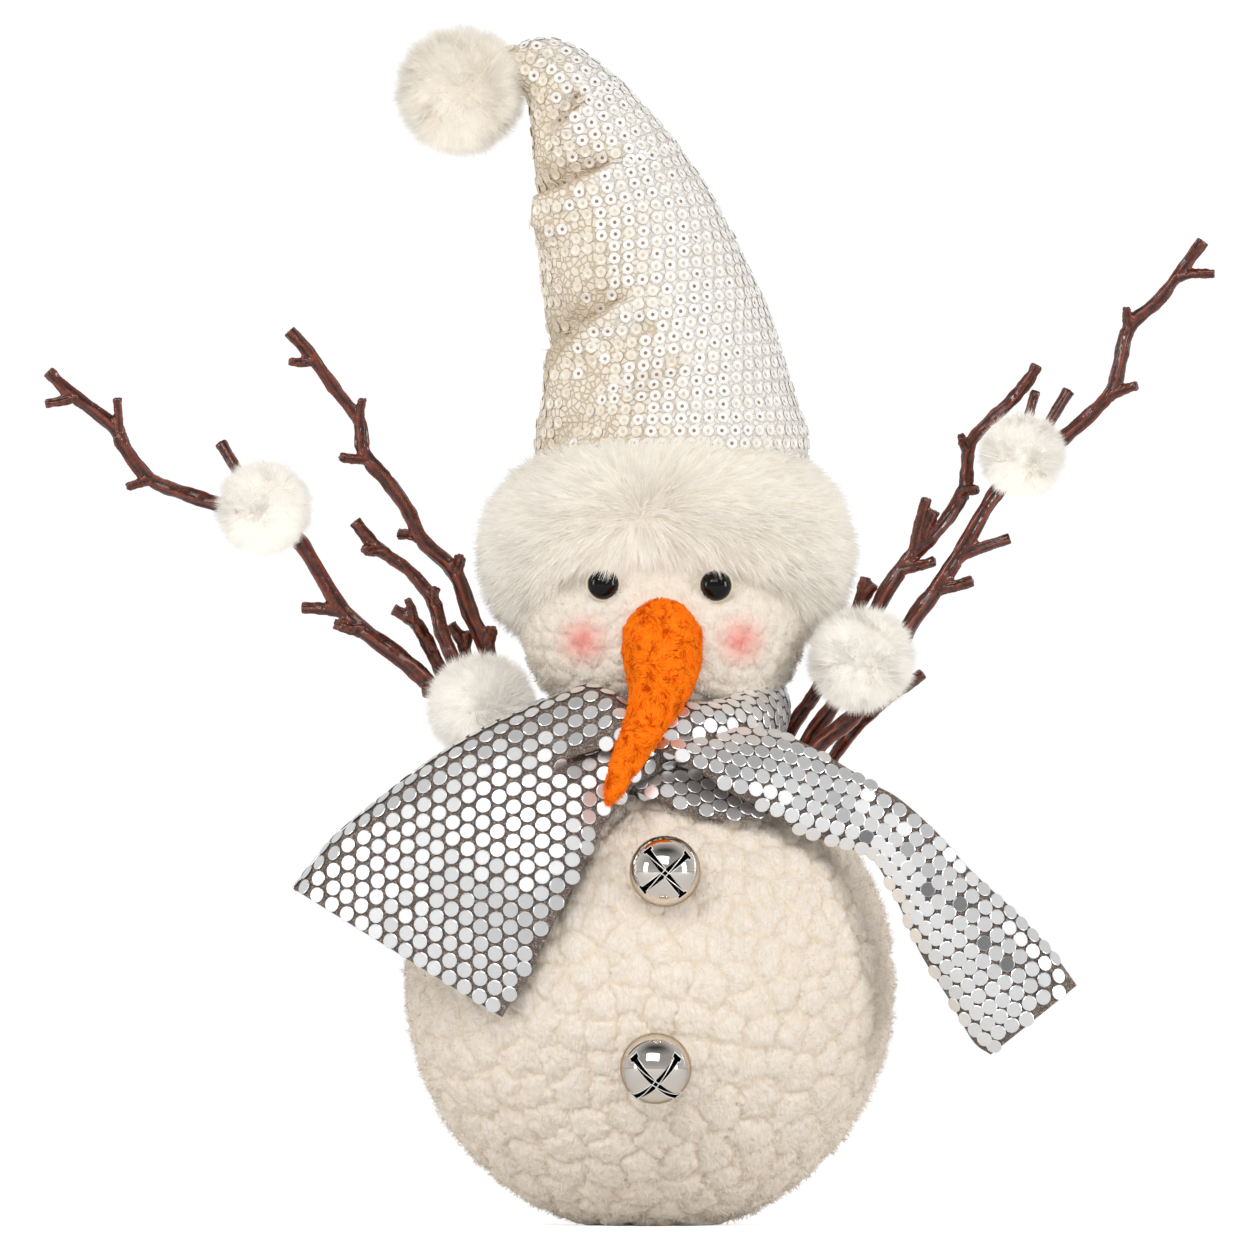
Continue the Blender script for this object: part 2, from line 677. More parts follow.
def addBlush(look):
    # soft pink spots on the cheeks, laid over whatever colour the cloth has
    nodes, links = look.node_tree.nodes, look.node_tree.links
    shader = nodes['Principled BSDF']
    colour = shader.inputs['Base Color'].links[0].from_socket
    where = nodes.new('ShaderNodeTexCoord')
    for x, z in face['cheeks']:
        spot = nodes.new('ShaderNodeMapping')
        size = face['cheekSize']
        spot.inputs['Location'].default_value = (-x / size, 38 * mm / (3 * size), -z / size)
        spot.inputs['Scale'].default_value = (1 / size, 1 / (3 * size), 1 / size)
        links.new(where.outputs['Object'], spot.inputs['Vector'])
        far = nodes.new('ShaderNodeVectorMath')
        far.operation = 'LENGTH'
        links.new(spot.outputs[0], far.inputs[0])
        mask = addRamp(nodes, links, far.outputs['Value'],
                       [(0.0, 0.92), (0.30, 0.58), (0.65, 0.22), (1.0, 0.0)])
        colour = addMix(nodes, links, mask, colour, face['blush'])
    links.new(colour, shader.inputs['Base Color'])


faceSkinLook = makeSkinLook('faceBackCloth', (0.93, 0.865, 0.78), (0.85, 0.75, 0.61))
facePileLook = makePileLook('faceLoops', (0.94, 0.88, 0.80), (0.90, 0.83, 0.73), 0.28)
addBlush(faceSkinLook)
addBlush(facePileLook)


def makeHead():
    skin = bobbleBall(head, 22)
    settle(skin, 'headCloth', faceSkinLook)
    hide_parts('head')
    loopPile('headPile', skin, head, 32, facePileLook)
    print('head made')


makeBody()
makeHead()

eyes = {
    'places': {'left': (-15.6 * mm, 213.6 * mm), 'right': (21.8 * mm, 213.1 * mm)},
    'radius': 5.2 * mm,
    'flatness': 0.8,
}


def frontOf(settings, x, z):
    half, middle = settings['half'], settings['middle']
    across = (x - middle.x) / half.x
    up = (z - middle.z) / half.z
    return middle.y - half.y * math.sqrt(1 - across ** 2 - up ** 2)


def makeEyes():
    look, nodes, links, shader = newLook('blackDome', (0.003, 0.002, 0.002), 0.04, Specular_IOR_Level=0.28)
    cream, nodes, links, shader = newLook('creamSeat', (0.80, 0.70, 0.52), 0.7)
    height = addFibres(nodes, links, 900, 1.0)[0]
    addBump(nodes, links, shader, height, 0.3, 0.3 * mm)
    for side, (x, z) in eyes['places'].items():
        front = frontOf(head, x, z) - 1.0 * mm
        clearSelection()
        bpy.ops.mesh.primitive_uv_sphere_add(segments=64, ring_count=32, radius=eyes['radius'])
        eye = bpy.context.object
        eye.scale = (1, eyes['flatness'], 1)
        eye.location = (x, front, z)
        settle(eye, 'eyeDome_' + side, look)
        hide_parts('eye_' + side)
        clearSelection()
        bpy.ops.mesh.primitive_torus_add(major_segments=56, minor_segments=10, major_radius=eyes['radius'] + 0.15 * mm,
                                         minor_radius=0.5 * mm, location=(x, front - 0.15 * mm, z),
                                         rotation=(math.radians(90), 0, 0))
        settle(bpy.context.object, 'eyeSeat_' + side, cream)
    print('eyes made')


makeEyes()

nose = {
    'route': [(4, -43, 205.8), (4, -44.5, 203.2), (4, -46, 198.5), (4, -48, 192.5), (3.8, -51, 185), (2.5, -55, 178),
              (0, -59.5, 171.5), (-3.3, -64, 164), (-7.3, -68.5, 156), (-11, -73, 148), (-13, -74.8, 143.5),
              (-13.8, -75.6, 141)],
    'radii': [5.2, 9.2, 12.4, 13.3, 12.2, 10.0, 7.8, 6.5, 5.0, 3.6, 2.7, 1.2],
    'wispCount': 38000,
}


def routeTube(route, radii, resolution):
    # a closed mesh tube through points in metres, with a radius for each
    curve = bpy.data.curves.new('routeLine', 'CURVE')
    curve.dimensions = '3D'
    curve.bevel_depth = 1.0
    curve.bevel_resolution = resolution
    curve.use_fill_caps = True
    line = curve.splines.new('POLY')
    line.points.add(len(route) - 1)
    for point, place, radius in zip(line.points, route, radii):
        point.co = (*place, 1)
        point.radius = radius
    tube = bpy.data.objects.new('routeLine', curve)
    bpy.context.scene.collection.objects.link(tube)
    pick(tube)
    bpy.ops.object.convert(target='MESH')
    tube = bpy.context.object
    closeSeams(tube)
    return tube


def evenSkin(tube, voxel, softening):
    remesh = tube.modifiers.new('even', 'REMESH')
    remesh.mode = 'VOXEL'
    remesh.voxel_size = voxel
    soft = tube.modifiers.new('soft', 'SMOOTH')
    soft.iterations = softening
    applyModifiers(tube)


def makeNose():
    rows = throughPoints([(*place, radius) for place, radius in zip(nose['route'], nose['radii'])], 100) * mm
    tube = routeTube(rows[:, :3], np.maximum(rows[:, 3], 0.8 * mm), 14)
    evenSkin(tube, 0.55 * mm, 3)
    places, ways = points(tube), normalsOf(tube)
    lumps = (swirlField(places, 10 * mm, 5)[:, 0] * 0.35 * mm
             + swirlField(places, 3.4 * mm, 6)[:, 1] * 0.22 * mm)
    setPoints(tube, places + ways * (lumps - 0.25 * mm)[:, None])
    look, nodes, links, shader = newLook('orangeFelt', (1.0, 0.19, 0.0), 0.9, Specular_IOR_Level=0.06)
    height = addFibres(nodes, links, 420, 3.0, (1, 1, 1.3))[0]
    colour = addMix(nodes, links, height, (0.86, 0.065, 0.0), (1.0, 0.16, 0.0))
    light = addRamp(nodes, links, height, [(0.55, 0.0), (1.0, 0.45)])
    colour = addMix(nodes, links, light, colour, (1.0, 0.30, 0.02))
    links.new(colour, shader.inputs['Base Color'])
    addBump(nodes, links, shader, height, 0.8, 0.9 * mm)
    settle(tube, 'noseFelt', look)
    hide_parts('nose')
    wool = makePileLook('orangeWisps', (1.0, 0.39, 0.02), (1.0, 0.21, 0.0), 0.75, 0.05, (1.0, 0.12, 0.0))
    spots, ways = scatter(tube, nose['wispCount'], 9)
    swirl = alongSkin(swirlField(spots, 8 * mm, 11), ways)
    strands('noseWisps', spots, ways, 4.0 * mm, 0.18 * mm, unit(swirl) * 3.4, -ways * 1.2 + np.cross(ways, swirl) * 0.6,
            12, wool, 0.22, lock=5, stray=0.7)
    print('nose made')


makeNose()

cuff = {
    'middle': Vector((5.4, 0, 224)) * mm,
    'radius': 41 * mm,
    'halfThick': 22.1 * mm,
    'halfHigh': 23 * mm,
    'sideExtra': 6 * mm,
    'frontRise': 17 * mm,
    'backDrop': 9 * mm,
    'pile': 9.2 * mm,
    'inset': 5.4 * mm,           # how far the backing lies inside the tips
    'strandCount': 65500,
    'whorl': (-3.5 * mm, -57 * mm, 234.5 * mm),     # the fur is brushed away from here
}
pompoms = {
    'hat_pompom': {'middle': (-63.3, -4, 378), 'radius': 21.0, 'strandCount': 52000},
    'pompom_left_outer': {'middle': (-128.8, -9, 239.1), 'radius': 15.6, 'strandCount': 32000},
    'pompom_left_inner': {'middle': (-56.3, -25, 173.3), 'radius': 17.5, 'strandCount': 38000},
    'pompom_right_outer': {'middle': (124, -9, 256.7), 'radius': 14.1, 'strandCount': 28000},
    'pompom_right_inner': {'middle': (70.3, -20, 188.7), 'radius': 17.6, 'strandCount': 38000},
}


def makeCuff():
    clearSelection()
    bpy.ops.mesh.primitive_torus_add(major_segments=120, minor_segments=36, major_radius=2, minor_radius=1)
    ring = bpy.context.object
    rows = points(ring)
    turn = np.arctan2(rows[:, 1], rows[:, 0])
    out = np.hypot(rows[:, 0], rows[:, 1]) - 2
    front, back = np.maximum(0, -np.sin(turn)), np.maximum(0, np.sin(turn))
    reach = cuff['radius'] + out * (cuff['halfThick'] - cuff['inset'])
    high = cuff['halfHigh'] + cuff['sideExtra'] * np.cos(turn) ** 2 - cuff['inset']
    lift = cuff['frontRise'] * front - cuff['backDrop'] * back
    places = np.stack([reach * np.cos(turn), reach * np.sin(turn), lift + rows[:, 2] * high], axis=1)
    places += np.array(cuff['middle'])
    setPoints(ring, places + swirlField(places, 26 * mm, 41) * 0.6 * mm)
    store(ring, 'rise', np.full(len(places), 0.8))
    settle(ring, 'cuffCloth', furSkinLook)
    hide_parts('hat_brim')

    def outwards(centres, normals):
        radial = unit((centres - np.array(cuff['middle'])) * [1, 1, 0])
        return (smoothStep(((normals * radial).sum(axis=1) + 0.45) / 0.8)
                * np.where(centres[:, 1] < 20 * mm, 1.0, 0.6))

    spots, ways = scatter(ring, cuff['strandCount'], 42, outwards)
    away = spots - np.array(cuff['whorl'])
    brushed = unit(alongSkin(away, ways)) * (
        0.6 + 0.4 * smoothStep(np.linalg.norm(away, axis=1) / (12 * mm)))[:, None]
    locks = swirlField(spots, 9 * mm, 43) * 0.32
    lean = brushed * 1.05 + locks + np.array([0, 0, -0.08])
    strands('cuffFur', spots, ways, cuff['pile'], 0.30 * mm, lean, brushed * 0.25 + locks * 0.5 + np.array([0, 0, -0.18]),
            44, furLook, 0.13, lock=7, stray=0.28, combed=1.0)
    print('cuff made')


def makePompom(node, settings, seed):
    clearSelection()
    radius = settings['radius'] * mm
    inset = radius * 0.30
    bpy.ops.mesh.primitive_uv_sphere_add(segments=48, ring_count=32, radius=radius - inset,
                                         location=Vector(settings['middle']) * mm)
    ball = bpy.context.object
    name = node.replace('_', ' ').title().replace(' ', '')
    name = name[0].lower() + name[1:]
    store(ball, 'rise', np.full(len(ball.data.vertices), 0.7))
    settle(ball, name + 'Core', furSkinLook)
    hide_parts(node)
    spots, ways = scatter(ball, settings['strandCount'], seed)
    locks = unit(alongSkin(swirlField(spots, 11 * mm, seed + 1), ways)) * 0.62
    look = furLook if node == 'hat_pompom' else snowLook
    strands(name + 'Fur', spots, ways, inset * 1.42, 0.26 * mm, locks, locks, seed + 2, look, 0.12,
            1, 9, 0.36, 0.8)


makeCuff()
for number, (node, settings) in enumerate(pompoms.items()):
    makePompom(node, settings, 60 + 5 * number)
print('pompoms made')

hat = {
    # left and right ends of each section, from the cuff to the tip
    'sections': [((-38, 226), (48, 228)), ((-38.3, 259), (53, 259)), ((-36.3, 273), (47.7, 279)),
                 ((-32.3, 286.7), (41.7, 298)), ((-35, 303), (36.5, 311)), ((-37, 323), (27.5, 330)),
                 ((-39, 335), (20, 344)), ((-36.7, 342.7), (12, 356)), ((-38.5, 352), (1.7, 369.3)),
                 ((-39, 360), (-8.3, 380)), ((-40, 368), (-18.7, 388.3)), ((-41, 375.3), (-27.7, 393.7)),
                 ((-44.5, 378.5), (-37, 395.3)), ((-49.3, 380.3), (-47, 392.7)), ((-55, 382), (-54, 390))],
    'depthShare': 0.95,
    'sequin': 3.9 * mm,
    'pitch': 4.75 * mm,
    'reach': 1.6,                # how wide the step at a fold's lip is
    # folds seen from the front; proud is the side that stands out, left +1, right -1, a plain dip 0
    'folds': [
        {'line': [(-38, 342), (-30, 344.3), (-20.3, 348.7), (-15, 351.7), (-11, 354), (-6, 355.7)],
         'deep': 4.8, 'wide': 8, 'proud': -1, 'fades': 0.35, 'start': 1},
        {'line': [(-32.3, 285.3), (-30, 289.3), (-26.8, 293), (-22, 297.8), (-16.7, 301.8), (-10.3, 306.7),
                  (-6.3, 308.7), (-2.7, 311.3)], 'deep': 5.6, 'wide': 9, 'proud': -1, 'fades': 0.35, 'start': 1},
        {'line': [(-38.3, 332.7), (-32, 331.3), (-34, 327.3), (-37, 323.7)],
         'deep': 2.2, 'wide': 3, 'proud': 1, 'fades': 0.7, 'start': 1},
        {'line': [(-21.3, 377.7), (-25, 370.7), (-29, 366.3), (-31.3, 362.3), (-34.3, 359)],
         'deep': 3.2, 'wide': 5, 'proud': 1, 'fades': 0.5, 'start': 0},
        {'line': [(-49, 385), (-41, 389.3), (-32, 390), (-25.3, 388)],
         'deep': 1.6, 'wide': 2.2, 'proud': 0, 'fades': 0.6, 'start': 0},
        {'line': [(-16.7, 291), (-3.3, 299), (1.7, 301.7)], 'deep': 2.2, 'wide': 4, 'proud': 0, 'fades': 0.5, 'start': 0},
        {'line': [(-10, 277.7), (5, 285.3), (13.3, 288.3)], 'deep': 2.0, 'wide': 4, 'proud': 0, 'fades': 0.5, 'start': 0},
        {'line': [(-35, 259.3), (-25, 266.7), (-14, 272)], 'deep': 2.0, 'wide': 4, 'proud': 0, 'fades': 0.5, 'start': 1},
    ],
}


def hatSurface(u, v):
    # u goes round from the right over the back, v from the cuff to the tip
    row = rowAt(throughPoints([(*a, *b) for a, b in hat['sections']], 400), v)
    level = np.zeros(len(v))
    left = np.stack([row[:, 0], level, row[:, 1]], axis=1)
    right = np.stack([row[:, 2], level, row[:, 3]], axis=1)
    middle, across = (left + right) / 2, (right - left) / 2
    turn = u * 2 * math.pi
    places = middle + across * np.cos(turn)[:, None]
    places[:, 1] += np.linalg.norm(across, axis=1) * hat['depthShare'] * np.sin(turn)
    places[:, 2] -= np.clip(1 - v * 14, 0, 1) * 9.0 * np.sin(turn)     # the foot follows the cuff's slope
    outward = unit(across) * np.cos(turn)[:, None]
    outward[:, 1] += np.sin(turn)
    front = smoothStep((0.12 - np.sin(turn)) / 0.7)                    # folds fade out at the sides
    lift, slide = creaseSteps(places[:, [0, 2]], hat['folds'], hat['reach'])
    soft = swirlField(places, 28, 71)[:, 0] * 0.8 * smoothStep(v * 6)
    places += outward * (lift * front + soft)[:, None]
    places[:, [0, 2]] += slide * front[:, None]
    return places * mm


def sequinShape(radius, rings):
    # one sequin, modelled once: loops from the rim inwards, each a share of the radius and a height
    clearSelection()
    bpy.ops.mesh.primitive_circle_add(vertices=12, radius=radius, fill_type='NOTHING')
    disc = bpy.context.object
    bpy.ops.object.mode_set(mode='EDIT')
    bpy.ops.mesh.select_all(action='SELECT')
    for share, lift in rings:
        bpy.ops.mesh.extrude_edges_move()
        shape = bmesh.from_edit_mesh(disc.data)
        for vert in shape.verts:
            if vert.select:
                vert.co = vert.co.normalized() * radius * share
                vert.co.z = lift * radius
        bmesh.update_edit_mesh(disc.data)
    bpy.ops.mesh.edge_face_add()
    bpy.ops.object.mode_set(mode='OBJECT')
    places = points(disc)
    disc.data.calc_loop_triangles()
    corners = np.array([list(t.vertices) for t in disc.data.loop_triangles])
    bpy.data.objects.remove(disc)
    a, b, c = (places[corners[:, k]] for k in range(3))
    down = np.cross(b - a, c - a)[:, 2] < 0
    corners[down] = corners[down][:, ::-1]
    return places, corners


def sewSequins(name, shape, spots, ways, lift, tilt, seed, look, tones=None):
    # copies of one sequin at each spot, each turned and tipped a little, in one mesh
    disc, corners = shape
    rng = np.random.default_rng(seed)
    count = len(spots)
    up = unit(ways + rng.normal(0, tilt, (count, 3)))
    right = unit(np.cross(rng.normal(0, 1, (count, 3)), up))
    ahead = np.cross(up, right)
    turned = (disc[None, :, 0:1] * right[:, None] + disc[None, :, 1:2] * ahead[:, None]
              + disc[None, :, 2:3] * up[:, None])
    places = turned + (spots + ways * lift)[:, None]
    allCorners = corners[None] + (np.arange(count) * len(disc))[:, None, None]
    piece = meshFromTriangles(name, places.reshape(-1, 3), allCorners.reshape(-1, 3), flat=True)
    outward = np.hypot(disc[:, 0], disc[:, 1])
    store(piece, 'tone', np.repeat(rng.random(count) if tones is None else tones, len(disc)))
    store(piece, 'outward', np.tile(outward / outward.max(), count))
    piece.data.materials.append(look)
    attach(piece, "root")
    return piece


def makeHatLooks():
    # an ivory knit with tan lines between its cells, and pearly sequins sewn on with brown thread
    knit, nodes, links, shader = newLook('ivoryKnit', (0.84, 0.77, 0.66), 0.75, Specular_IOR_Level=0.3)
    where = nodes.new('ShaderNodeTexCoord')
    cells = nodes.new('ShaderNodeTexVoronoi')
    cells.feature = 'DISTANCE_TO_EDGE'
    cells.inputs['Scale'].default_value = 430
    links.new(where.outputs['Object'], cells.inputs['Vector'])
    edge = addRamp(nodes, links, cells.outputs['Distance'], [(0.02, 0.0), (0.14, 1.0)])
    height = addFibres(nodes, links, 900, 1.2)[0]
    thread = addMix(nodes, links, addReading(nodes, 'side'), (0.92, 0.83, 0.70), (0.97, 0.94, 0.89))
    thread = addMix(nodes, links, addMath(nodes, links, 'MULTIPLY', height, 0.4), thread, (0.82, 0.73, 0.60))
    line = addMix(nodes, links, addReading(nodes, 'side'), (0.66, 0.54, 0.38), (0.84, 0.78, 0.70))
    thread = addMix(nodes, links, edge, line, thread)
    links.new(addMix(nodes, links, addReading(nodes, 'fold'), thread, (0.55, 0.43, 0.29)),
              shader.inputs['Base Color'])
    addBump(nodes, links, shader, edge, 0.6, 0.6 * mm)
    pearl, nodes, links, shader = newLook('pearlSequin', (0.93, 0.88, 0.81), 0.28, Coat_Weight=0.3,
                                          Coat_Roughness=0.15, Specular_IOR_Level=0.6)
    reading = addReading(nodes, 'tone')
    warm = addRamp(nodes, links, reading,
                   [(0.0, (0.90, 0.80, 0.665)), (0.5, (0.96, 0.885, 0.77)), (0.6, (0.99, 0.95, 0.90)),
                    (1.0, (1.0, 0.98, 0.95))])
    cool = addRamp(nodes, links, reading,
                   [(0.0, (0.96, 0.93, 0.885)), (0.5, (0.99, 0.965, 0.935)), (0.6, (1.0, 0.985, 0.965)),
                    (1.0, (1.0, 1.0, 0.99))])
    tone = addMix(nodes, links, addReading(nodes, 'side'), warm, cool)
    tone = addMix(nodes, links, addReading(nodes, 'fold'), tone, (0.58, 0.46, 0.32))
    dark = addRamp(nodes, links, reading, [(0.5, (0.74, 0.62, 0.45)), (0.6, (0.33, 0.20, 0.11))])
    stitch = addRamp(nodes, links, addReading(nodes, 'outward'), [(0.29, 0.0), (0.35, 1.0)])
    links.new(addMix(nodes, links, stitch, dark, tone), shader.inputs['Base Color'])
    return knit, pearl


def storeShades(piece, places, ways):
    # how far to the right each spot looks, and how deep it lies in a fold
    lift = creaseSteps(places[:, [0, 2]] / mm, hat['folds'], hat['reach'])[0]
    store(piece, 'side', smoothStep((ways[:, 0] + 0.45) / 0.9))
    store(piece, 'fold', 0.6 * smoothStep(-lift / 4.2) * (ways[:, 1] < 0))


def makeHat():
    clearSelection()
    bpy.ops.mesh.primitive_grid_add(x_subdivisions=260, y_subdivisions=260, size=2)
    cloth = bpy.context.object
    rows = points(cloth)
    setPoints(cloth, hatSurface((rows[:, 0] + 1) / 2, (rows[:, 1] + 1) / 2))
    closeSeams(cloth)
    knit, pearl = makeHatLooks()
    settle(cloth, 'hatCloth', knit)
    storeShades(cloth, points(cloth), normalsOf(cloth))
    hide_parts('hat')
    # staggered rows at an even pitch, with fewer sequins to the row as the hat narrows
    spots, ways = [], []
    levels = np.linspace(0.06, 0.985, 1200)
    spine = hatSurface(np.full(1200, 0.75), levels)
    length = np.concatenate([[0], np.cumsum(np.linalg.norm(np.diff(spine, axis=0), axis=1))])
    rowGap = hat['pitch'] * math.cos(math.radians(30))
    turns = np.linspace(0, 1, 361)
    for row in range(int(length[-1] / rowGap)):
        v = float(np.interp(row * rowGap, length, levels))
        ring = hatSurface(turns, np.full(361, v))
        run = np.concatenate([[0], np.cumsum(np.linalg.norm(np.diff(ring, axis=0), axis=1))])
        count = max(5, round(run[-1] / hat['pitch']))
        u = np.interp((np.arange(count) + 0.5 * (row % 2)) / count * run[-1], run, turns)
        here = hatSurface(u, np.full(count, v))
        beside = hatSurface(u + 0.006, np.full(count, v))
        above = hatSurface(u, np.full(count, v + 0.006))
        spots.append(here)
        ways.append(unit(np.cross(beside - here, above - here)))
    shape = sequinShape(hat['sequin'] / 2, [(0.84, 0.12), (0.38, -0.05), (0.27, -0.10)])
    spots, ways = np.concatenate(spots), np.concatenate(ways)
    # the sequins shine where they face forward, and lie dull at the sides and in the folds
    rng = np.random.default_rng(73)
    shining = (0.04 + 0.62 * smoothStep((0.66 - np.abs(ways[:, 0] - 0.08)) / 0.36)
               * smoothStep((0.1 - ways[:, 1]) / 0.4))
    shining *= 1 - 0.85 * smoothStep((-33 * mm - spots[:, 0]) / (6 * mm))
    shines = rng.random(len(spots)) < shining
    bare = (ways[:, 0] < -0.42) & ~shines & (rng.random(len(spots)) < 0.55)
    for fold in hat['folds'][:2]:
        side, share = nearestOnLine(spots[:, [0, 2]] / mm, fold['line'])[:2]
        bare |= (np.abs(side) < 2.0) & (share < 0.8) & (spots[:, 1] < 0)
    spots, ways, shines = spots[~bare], ways[~bare], shines[~bare]
    tones = np.where(shines, 0.6 + 0.4 * rng.random(len(spots)), 0.5 * rng.random(len(spots)))
    sequins = sewSequins('hatSequins', shape, spots, ways, 0.32 * mm, 0.055, 72, pearl, tones)
    storeShades(sequins, np.repeat(spots, len(shape[0]), axis=0), np.repeat(ways, len(shape[0]), axis=0))
    print('hat made,', len(spots), 'sequins')


makeHat()

scarf = {
    # the strip as cut: the left hem's width, and both tails with one turn round the neck
    'cut': (0.084, 0.575),
    'sequin': 5.25 * mm,
    'pitch': 5.72 * mm,
    'tightPitch': 5.35 * mm,     # where the cloth is drawn together
    'edge': 1.6 * mm,            # from the middle of the last sequins to the edge of the net
    'roll': 9.0,                 # radius of the left tail's rolled top edge
    # single sequins that have gone dark: x, z and how dark
    'tarnished': [(72, 131.3, 1), (86.3, 123.5, 0.5), (93, 112, 1), (102.3, 105.7, 0.9), (108.7, 95.7, 0.95),
                  (119.5, 89.7, 0.95), (130, 83, 0.85), (31.3, 152, 0.6), (26, 151.7, 0.4), (66, 137, 0.3),
                  (60, 141, 0.25), (90, 118, 0.3), (-45, 148, 0.1)],
    # pairs of upper and lower edge points
    'leftTail': [((3, -47, 167), (3, -53, 151)), ((-9, -52, 177), (-5, -60.5, 147)),
                 ((-19.7, -46, 182), (-9.5, -61, 141)), ((-30, -45, 179.5), (-15, -63, 134)),
                 ((-43.3, -45, 174), (-19, -68, 126)), ((-56.7, -47, 167.7), (-23.3, -71.5, 118)),
                 ((-73.3, -47, 157.7), (-28, -73, 109)), ((-90, -45, 145), (-33.5, -73.5, 98)),
                 ((-106.7, -41, 131), (-40, -72, 85.7)), ((-120.7, -37, 113.7), (-49, -67, 70))],
    'pleat': [{'line': [(-8, 163.3), (-16.7, 160), (-25.3, 156.7), (-35, 151)],
               'deep': 3.6, 'wide': 6, 'proud': -1, 'fades': 0.4, 'start': 1}],
    'rightTail': [((-3, -44, 166), (-3, -57, 156)), ((7, -45.5, 168), (5, -61.5, 157.7)),
                  ((18, -46, 167), (14, -63.5, 152.7)), ((31, -45, 166), (28, -62, 143.7)),
                  ((42, -44.5, 164.5), (38, -58, 138.7)), ((53.3, -45, 159.7), (50.3, -52.5, 131)),
                  ((66.3, -45, 152), (66.3, -48, 125.7)), ((73.7, -46, 147.3), (73.2, -47, 122.7)),
                  ((82.7, -46, 142.3), (77, -47, 117.7)), ((95, -47, 131.3), (82.7, -46, 106.7)),
                  ((106.7, -46, 118.3), (89.7, -46, 91)), ((121.3, -44, 104.7), (99, -45, 76)),
                  ((133.3, -42, 91.7), (107, -44, 62)), ((141.7, -40, 80.3), (113, -43, 57.3))],
    # where the sequins have dulled: x, z, how wide and how much
    'dulled': [(-28, 92, 36, 0.62), (128, 68, 20, 0.2), (96, 82, 14, 0.25)],
    'underTurn': [((-15, -43, 163), (-15, -54, 150)), ((-6, -45, 161), (-7, -56.5, 145.7)),
                  ((6, -46, 158), (5.7, -59, 140.7)), ((16, -45, 155), (15, -60, 136.8)),
                  ((29, -43, 151), (28, -59, 135.2)), ((39, -40, 148), (38, -55, 137)),
                  ((46, -36, 148), (46, -48, 142))],
    'neckTurn': {'side': 39, 'front': 50.5, 'back': 42, 'level': 171.5, 'dip': 7.5, 'halfHigh': 12, 'frontThin': 2.8,
                 'bulge': 8.0, 'inset': 1.6, 'leftDrop': 9},
    'neckUnder': {'side': 41, 'front': 46.0, 'back': 43, 'level': 154.0, 'dip': 6.0, 'halfHigh': 10.5, 'frontThin': 0,
                  'bulge': 6.0, 'inset': 2.0, 'leftDrop': 0},
}


def tailEdges(key, s):
    row = rowAt(throughPoints([(*a, *b) for a, b in scarf[key]], 300), s)
    return row[:, :3], row[:, 3:]


def leftTail(s, t, spread=False):
    # a wide fan whose top edge rolls back out of sight; spread lays the roll out flat
    upper, lower = tailEdges('leftTail', s)
    across = upper - lower
    wide = np.linalg.norm(across, axis=1)
    across = unit(across)
    bend = np.clip((t - 0.80) / 0.20, 0, 1) * math.radians(130)
    turned = bend if spread else np.sin(bend)
    far = np.where(t < 0.80, t / 0.80 * (wide - scarf['roll']), wide - scarf['roll'] * (1 - turned))
    places = lower + across * far[:, None]
    if spread:
        return places * mm
    back = unit(np.array([0, 1.0, 0]) - across * across[:, 1:2])
    places += back * (scarf['roll'] * (1 - np.cos(bend)))[:, None]
    share = np.clip(far / wide, 0, 1)
    places[:, 1] -= 6.5 * np.sin(math.pi * share) + np.sin(share * 7.0 + 1.3) * 0.7 * smoothStep(s * 2)
    lift, slide = creaseSteps(places[:, [0, 2]], scarf['pleat'], 1.6)
    places[:, 1] -= lift
    places[:, [0, 2]] += slide
    return places * mm


def archedBand(key, s, t, open=78, rise=0.22):
    upper, lower = tailEdges(key, s)
    bend = (t - 0.5) * 2 * math.radians(open)
    share = 0.5 + 0.5 * np.sin(bend) / math.sin(math.radians(open))
    wide = np.linalg.norm(upper - lower, axis=1)
    places = lower + (upper - lower) * share[:, None]
    places[:, 1] -= (np.cos(bend) - math.cos(math.radians(open))) * wide * rise - 1.5
    return places * mm


def rightTail(s, t):
    return archedBand('rightTail', s, t)


def underTurn(s, t):
    return archedBand('underTurn', s, t, 60, 0.14)


def neckRing(key, s, t):
    settings = scarf[key]
    turn = s * 2 * math.pi
    front = np.maximum(0, -np.sin(turn))
    bend = (t - 0.5) * 2 * math.radians(108)
    out = settings['bulge'] * np.cos(bend) - settings['inset']
    up = (settings['halfHigh'] - settings['frontThin'] * front) * np.sin(bend)
    lean = math.radians(16) * front
    out, up = out * np.cos(lean) - up * np.sin(lean), up * np.cos(lean) + out * np.sin(lean)
    deep = np.where(turn > math.pi, settings['front'], settings['back']) + out
    puff = 0.8 * np.sin(turn * 5 + 2 * t) + 0.5 * np.sin(turn * 9 + 1)
    places = np.stack([0.5 + (settings['side'] + out + puff * 0.3) * np.cos(turn),
                       (deep + puff * 0.3) * np.sin(turn),
                       settings['level'] - settings['dip'] * front + up + puff * 0.4], axis=1)
    places[:, 2] -= settings['leftDrop'] * smoothStep(0.25 - np.cos(turn) * 0.75)
    return places * mm


